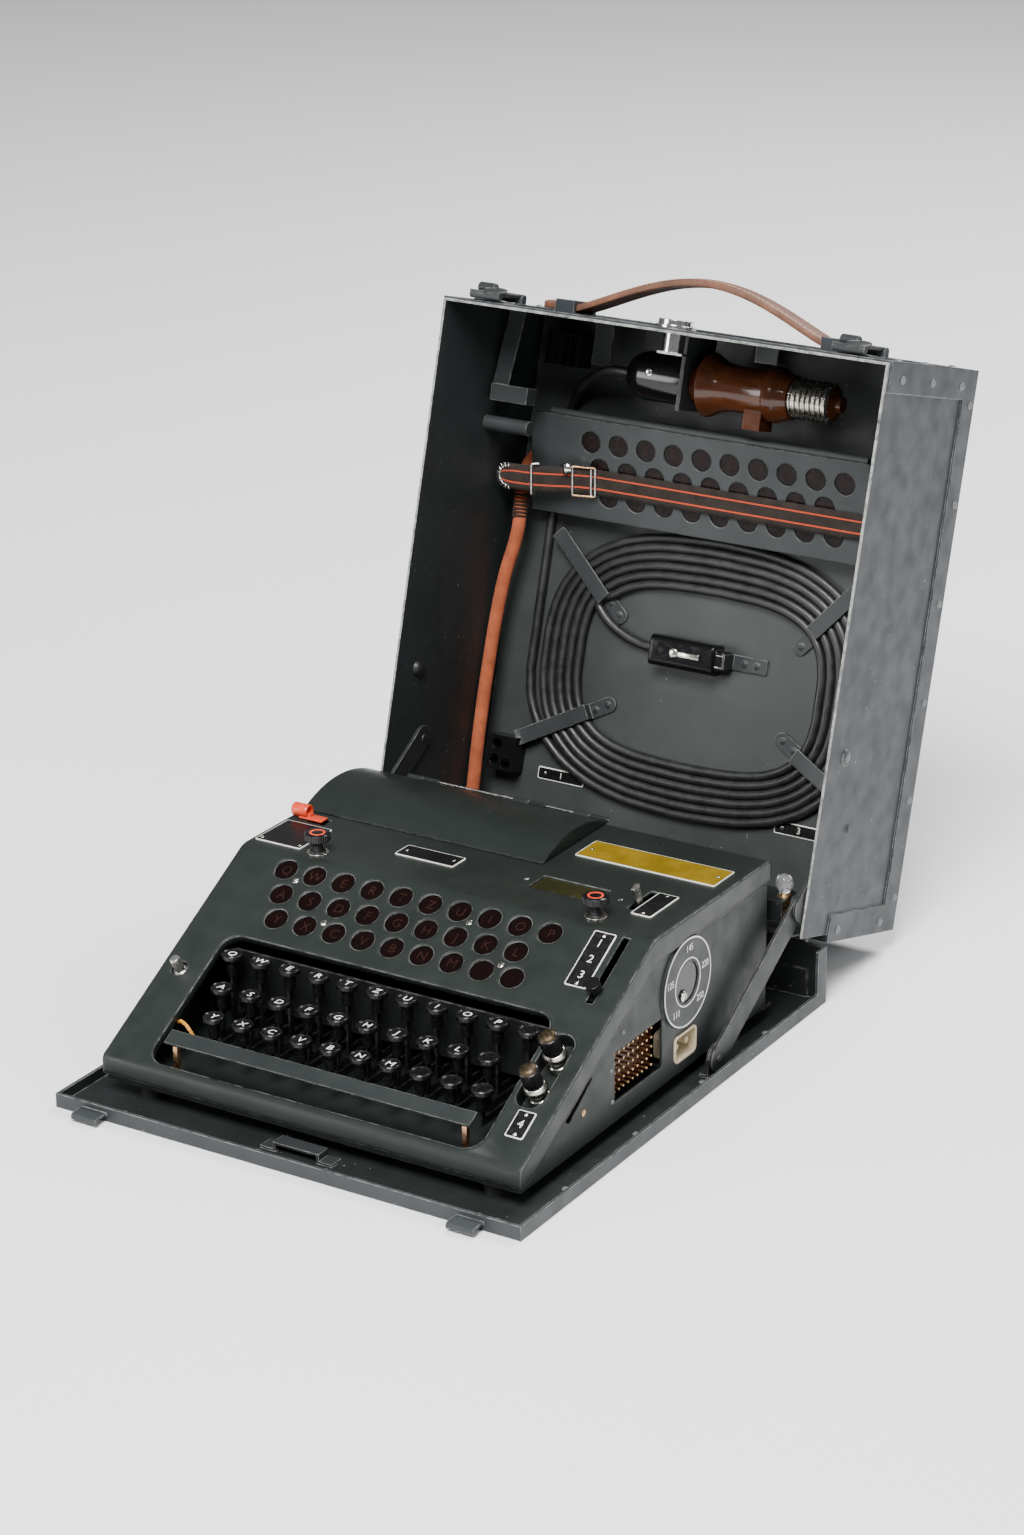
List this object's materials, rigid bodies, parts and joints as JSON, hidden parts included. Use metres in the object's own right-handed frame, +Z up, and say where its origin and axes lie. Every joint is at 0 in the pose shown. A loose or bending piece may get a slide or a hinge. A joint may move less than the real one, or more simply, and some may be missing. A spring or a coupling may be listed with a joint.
{
  "type": "portable rotor cipher machine in a metal carrying case",
  "caption": "Portable electric rotor cipher machine with keyboard and lamp panel in an open riveted metal carrying case, cord and remote lamp panel in the cover.",
  "frame": {"origin": "centre of the tray's underside, on the table", "axes": "+X to the right of the keyboard, +Y to the back, +Z up"},
  "size_m": [0.3256, 0.5733, 0.4166],
  "materials": {
    "tray_paint": "satin, worn at the edges",
    "cover_paint": "satin, worn at the edges",
    "fitting_steel": "satin",
    "handle_leather": "stitched, worn",
    "latch_paint": "satin",
    "stay_steel": "satin",
    "lamp_box_paint": "satin",
    "cord_rubber": "smooth",
    "plug_bakelite": "moulded",
    "strap_webbing": "woven",
    "cable_braid": "braided",
    "machine_paint": "satin",
    "hood_paint": "satin",
    "chassis_steel": "dull",
    "window_red": "glossy",
    "knob_plastic": "moulded",
    "lever_steel": "bright",
    "lever_red": "glossy",
    "dial_plastic": "moulded",
    "knob_nickel": "knurled",
    "rotor_steel": "dull",
    "key_black": "moulded"
  },
  "bodies": {
    "case": {"case_tray": "tray_paint", "machine_case": "machine_paint", "hood": "hood_paint", "chassis": "chassis_steel", "lamp_windows": "window_red", "knurled_knobs": "knob_nickel"},
    "cover": {"case_cover": "cover_paint", "cover_fittings": "fitting_steel", "remote_lamp_box": "lamp_box_paint", "mains_cord_coil": "cord_rubber", "mains_cord_leads": "cord_rubber", "cord_plugs": "plug_bakelite", "strap": "strap_webbing", "lamp_cable": "cable_braid", "carry_handle": "handle_leather"},
    "stay_lower": {"stay_lower": "stay_steel"},
    "stay_upper": {"stay_upper": "stay_steel"},
    "rotor_cover": {"rotor_cover": "hood_paint"},
    "latch_left": {"latch_left": "latch_paint"},
    "latch_right": {"latch_right": "latch_paint"},
    "power_selector": {"power_selector": "knob_plastic"},
    "counter_lever": {"counter_lever": "lever_steel"},
    "release_lever": {"release_lever": "lever_red"},
    "voltage_dial": {"voltage_dial": "dial_plastic"},
    "rotor_1": {"rotor_1": "rotor_steel"},
    "rotor_2": {"rotor_2": "rotor_steel"},
    "rotor_3": {"rotor_3": "rotor_steel"},
    "rotor_4": {"rotor_4": "rotor_steel"},
    "rotor_5": {"rotor_5": "rotor_steel"},
    "key_q": {"key_q": "key_black"},
    "key_w": {"key_w": "key_black"},
    "key_e": {"key_e": "key_black"},
    "key_r": {"key_r": "key_black"},
    "key_t": {"key_t": "key_black"},
    "key_z": {"key_z": "key_black"},
    "key_u": {"key_u": "key_black"},
    "key_i": {"key_i": "key_black"},
    "key_o": {"key_o": "key_black"},
    "key_p": {"key_p": "key_black"},
    "key_function_1": {"key_function_1": "key_black"},
    "key_a": {"key_a": "key_black"},
    "key_s": {"key_s": "key_black"},
    "key_d": {"key_d": "key_black"},
    "key_f": {"key_f": "key_black"},
    "key_g": {"key_g": "key_black"},
    "key_h": {"key_h": "key_black"},
    "key_j": {"key_j": "key_black"},
    "key_k": {"key_k": "key_black"},
    "key_l": {"key_l": "key_black"},
    "key_function_2": {"key_function_2": "key_black"},
    "key_y": {"key_y": "key_black"},
    "key_x": {"key_x": "key_black"},
    "key_c": {"key_c": "key_black"},
    "key_v": {"key_v": "key_black"},
    "key_b": {"key_b": "key_black"},
    "key_n": {"key_n": "key_black"},
    "key_m": {"key_m": "key_black"},
    "key_blank_1": {"key_blank_1": "key_black"},
    "key_blank_2": {"key_blank_2": "key_black"},
    "key_function_3": {"key_function_3": "key_black"}
  },
  "joints": [
    {"name": "cover_hinge", "type": "hinge", "parent": "case", "child": "cover", "pos_m": [0, 0.183, 0.0403], "axis": [-1, 0, 0], "range_deg": [-105.9, 0]},
    {"name": "stay_foot_pivot", "type": "hinge", "parent": "case", "child": "stay_lower", "pos_m": [0, 0.055, 0.012], "axis": [1, 0, 0], "range_deg": [-24.4, 0]},
    {"name": "stay_head_pivot", "type": "hinge", "parent": "cover", "child": "stay_upper", "pos_m": [0, 0.212, 0.1067], "axis": [1, 0, 0], "range_deg": [0, 22.3]},
    {"name": "rotor_cover_hinge", "type": "hinge", "parent": "case", "child": "rotor_cover", "pos_m": [0, 0.1388, 0.1116], "axis": [-1, 0, 0], "range_deg": [0, 75]},
    {"name": "latch_left_pivot", "type": "hinge", "parent": "cover", "child": "latch_left", "pos_m": [-0.131, 0.28257, 0.39531], "axis": [-1, 0, 0], "range_deg": [0, 60]},
    {"name": "latch_right_pivot", "type": "hinge", "parent": "cover", "child": "latch_right", "pos_m": [0.131, 0.28257, 0.39531], "axis": [-1, 0, 0], "range_deg": [0, 60]},
    {"name": "power_selector_slide", "type": "slide", "parent": "case", "child": "power_selector", "axis": [0, 0.8711, 0.4911], "range_m": [0, 0.032]},
    {"name": "counter_lever_pivot", "type": "hinge", "parent": "case", "child": "counter_lever", "pos_m": [0.1108, 0.0409, 0.098], "axis": [1, 0, 0], "range_deg": [-15, 15]},
    {"name": "release_lever_slide", "type": "slide", "parent": "case", "child": "release_lever", "axis": [-1, 0, 0], "range_m": [0, 0.006], "stiffness_N_per_m": 200, "springref_m": -0.003},
    {"name": "voltage_dial_pivot", "type": "hinge", "parent": "case", "child": "voltage_dial", "pos_m": [0.143, 0.033, 0.069], "axis": [1, 0, 0], "range_deg": [0, 240]},
    {"name": "rotor_1_spin", "type": "hinge", "parent": "case", "child": "rotor_1", "pos_m": [-0.114, 0.095, 0.082], "axis": [1, 0, 0], "continuous": true},
    {"name": "rotor_2_spin", "type": "hinge", "parent": "case", "child": "rotor_2", "pos_m": [-0.084, 0.095, 0.082], "axis": [1, 0, 0], "continuous": true},
    {"name": "rotor_3_spin", "type": "hinge", "parent": "case", "child": "rotor_3", "pos_m": [-0.054, 0.095, 0.082], "axis": [1, 0, 0], "continuous": true},
    {"name": "rotor_4_spin", "type": "hinge", "parent": "case", "child": "rotor_4", "pos_m": [-0.024, 0.095, 0.082], "axis": [1, 0, 0], "continuous": true},
    {"name": "rotor_5_spin", "type": "hinge", "parent": "case", "child": "rotor_5", "pos_m": [0.006, 0.095, 0.082], "axis": [1, 0, 0], "continuous": true},
    {"name": "key_q_press", "type": "hinge", "parent": "case", "child": "key_q", "pos_m": [0, 0.024, 0.028], "axis": [1, 0, 0], "range_deg": [0, 3.6], "stiffness_Nm_per_rad": 1, "springref_deg": -5.16},
    {"name": "key_w_press", "type": "hinge", "parent": "case", "child": "key_w", "pos_m": [0, 0.024, 0.028], "axis": [1, 0, 0], "range_deg": [0, 3.6], "stiffness_Nm_per_rad": 1, "springref_deg": -5.16},
    {"name": "key_e_press", "type": "hinge", "parent": "case", "child": "key_e", "pos_m": [0, 0.024, 0.028], "axis": [1, 0, 0], "range_deg": [0, 3.6], "stiffness_Nm_per_rad": 1, "springref_deg": -5.16},
    {"name": "key_r_press", "type": "hinge", "parent": "case", "child": "key_r", "pos_m": [0, 0.024, 0.028], "axis": [1, 0, 0], "range_deg": [0, 3.6], "stiffness_Nm_per_rad": 1, "springref_deg": -5.16},
    {"name": "key_t_press", "type": "hinge", "parent": "case", "child": "key_t", "pos_m": [0, 0.024, 0.028], "axis": [1, 0, 0], "range_deg": [0, 3.6], "stiffness_Nm_per_rad": 1, "springref_deg": -5.16},
    {"name": "key_z_press", "type": "hinge", "parent": "case", "child": "key_z", "pos_m": [0, 0.024, 0.028], "axis": [1, 0, 0], "range_deg": [0, 3.6], "stiffness_Nm_per_rad": 1, "springref_deg": -5.16},
    {"name": "key_u_press", "type": "hinge", "parent": "case", "child": "key_u", "pos_m": [0, 0.024, 0.028], "axis": [1, 0, 0], "range_deg": [0, 3.6], "stiffness_Nm_per_rad": 1, "springref_deg": -5.16},
    {"name": "key_i_press", "type": "hinge", "parent": "case", "child": "key_i", "pos_m": [0, 0.024, 0.028], "axis": [1, 0, 0], "range_deg": [0, 3.6], "stiffness_Nm_per_rad": 1, "springref_deg": -5.16},
    {"name": "key_o_press", "type": "hinge", "parent": "case", "child": "key_o", "pos_m": [0, 0.024, 0.028], "axis": [1, 0, 0], "range_deg": [0, 3.6], "stiffness_Nm_per_rad": 1, "springref_deg": -5.16},
    {"name": "key_p_press", "type": "hinge", "parent": "case", "child": "key_p", "pos_m": [0, 0.024, 0.028], "axis": [1, 0, 0], "range_deg": [0, 3.6], "stiffness_Nm_per_rad": 1, "springref_deg": -5.16},
    {"name": "key_function_1_press", "type": "hinge", "parent": "case", "child": "key_function_1", "pos_m": [0, 0.024, 0.028], "axis": [1, 0, 0], "range_deg": [0, 3.6], "stiffness_Nm_per_rad": 1, "springref_deg": -5.16},
    {"name": "key_a_press", "type": "hinge", "parent": "case", "child": "key_a", "pos_m": [0, 0.024, 0.028], "axis": [1, 0, 0], "range_deg": [0, 3.6], "stiffness_Nm_per_rad": 1, "springref_deg": -5.16},
    {"name": "key_s_press", "type": "hinge", "parent": "case", "child": "key_s", "pos_m": [0, 0.024, 0.028], "axis": [1, 0, 0], "range_deg": [0, 3.6], "stiffness_Nm_per_rad": 1, "springref_deg": -5.16},
    {"name": "key_d_press", "type": "hinge", "parent": "case", "child": "key_d", "pos_m": [0, 0.024, 0.028], "axis": [1, 0, 0], "range_deg": [0, 3.6], "stiffness_Nm_per_rad": 1, "springref_deg": -5.16},
    {"name": "key_f_press", "type": "hinge", "parent": "case", "child": "key_f", "pos_m": [0, 0.024, 0.028], "axis": [1, 0, 0], "range_deg": [0, 3.6], "stiffness_Nm_per_rad": 1, "springref_deg": -5.16},
    {"name": "key_g_press", "type": "hinge", "parent": "case", "child": "key_g", "pos_m": [0, 0.024, 0.028], "axis": [1, 0, 0], "range_deg": [0, 3.6], "stiffness_Nm_per_rad": 1, "springref_deg": -5.16},
    {"name": "key_h_press", "type": "hinge", "parent": "case", "child": "key_h", "pos_m": [0, 0.024, 0.028], "axis": [1, 0, 0], "range_deg": [0, 3.6], "stiffness_Nm_per_rad": 1, "springref_deg": -5.16},
    {"name": "key_j_press", "type": "hinge", "parent": "case", "child": "key_j", "pos_m": [0, 0.024, 0.028], "axis": [1, 0, 0], "range_deg": [0, 3.6], "stiffness_Nm_per_rad": 1, "springref_deg": -5.16},
    {"name": "key_k_press", "type": "hinge", "parent": "case", "child": "key_k", "pos_m": [0, 0.024, 0.028], "axis": [1, 0, 0], "range_deg": [0, 3.6], "stiffness_Nm_per_rad": 1, "springref_deg": -5.16},
    {"name": "key_l_press", "type": "hinge", "parent": "case", "child": "key_l", "pos_m": [0, 0.024, 0.028], "axis": [1, 0, 0], "range_deg": [0, 3.6], "stiffness_Nm_per_rad": 1, "springref_deg": -5.16},
    {"name": "key_function_2_press", "type": "hinge", "parent": "case", "child": "key_function_2", "pos_m": [0, 0.024, 0.028], "axis": [1, 0, 0], "range_deg": [0, 3.6], "stiffness_Nm_per_rad": 1, "springref_deg": -5.16},
    {"name": "key_y_press", "type": "hinge", "parent": "case", "child": "key_y", "pos_m": [0, 0.024, 0.028], "axis": [1, 0, 0], "range_deg": [0, 3.6], "stiffness_Nm_per_rad": 1, "springref_deg": -5.16},
    {"name": "key_x_press", "type": "hinge", "parent": "case", "child": "key_x", "pos_m": [0, 0.024, 0.028], "axis": [1, 0, 0], "range_deg": [0, 3.6], "stiffness_Nm_per_rad": 1, "springref_deg": -5.16},
    {"name": "key_c_press", "type": "hinge", "parent": "case", "child": "key_c", "pos_m": [0, 0.024, 0.028], "axis": [1, 0, 0], "range_deg": [0, 3.6], "stiffness_Nm_per_rad": 1, "springref_deg": -5.16},
    {"name": "key_v_press", "type": "hinge", "parent": "case", "child": "key_v", "pos_m": [0, 0.024, 0.028], "axis": [1, 0, 0], "range_deg": [0, 3.6], "stiffness_Nm_per_rad": 1, "springref_deg": -5.16},
    {"name": "key_b_press", "type": "hinge", "parent": "case", "child": "key_b", "pos_m": [0, 0.024, 0.028], "axis": [1, 0, 0], "range_deg": [0, 3.6], "stiffness_Nm_per_rad": 1, "springref_deg": -5.16},
    {"name": "key_n_press", "type": "hinge", "parent": "case", "child": "key_n", "pos_m": [0, 0.024, 0.028], "axis": [1, 0, 0], "range_deg": [0, 3.6], "stiffness_Nm_per_rad": 1, "springref_deg": -5.16},
    {"name": "key_m_press", "type": "hinge", "parent": "case", "child": "key_m", "pos_m": [0, 0.024, 0.028], "axis": [1, 0, 0], "range_deg": [0, 3.6], "stiffness_Nm_per_rad": 1, "springref_deg": -5.16},
    {"name": "key_blank_1_press", "type": "hinge", "parent": "case", "child": "key_blank_1", "pos_m": [0, 0.024, 0.028], "axis": [1, 0, 0], "range_deg": [0, 3.6], "stiffness_Nm_per_rad": 1, "springref_deg": -5.16},
    {"name": "key_blank_2_press", "type": "hinge", "parent": "case", "child": "key_blank_2", "pos_m": [0, 0.024, 0.028], "axis": [1, 0, 0], "range_deg": [0, 3.6], "stiffness_Nm_per_rad": 1, "springref_deg": -5.16},
    {"name": "key_function_3_press", "type": "hinge", "parent": "case", "child": "key_function_3", "pos_m": [0, 0.024, 0.028], "axis": [1, 0, 0], "range_deg": [0, 3.6], "stiffness_Nm_per_rad": 1, "springref_deg": -5.16}
  ],
  "couplings": [
    {"joint": "stay_foot_pivot", "follows": "cover_hinge", "ratio": 0.23},
    {"joint": "stay_head_pivot", "follows": "cover_hinge", "ratio": -0.21}
  ]
}
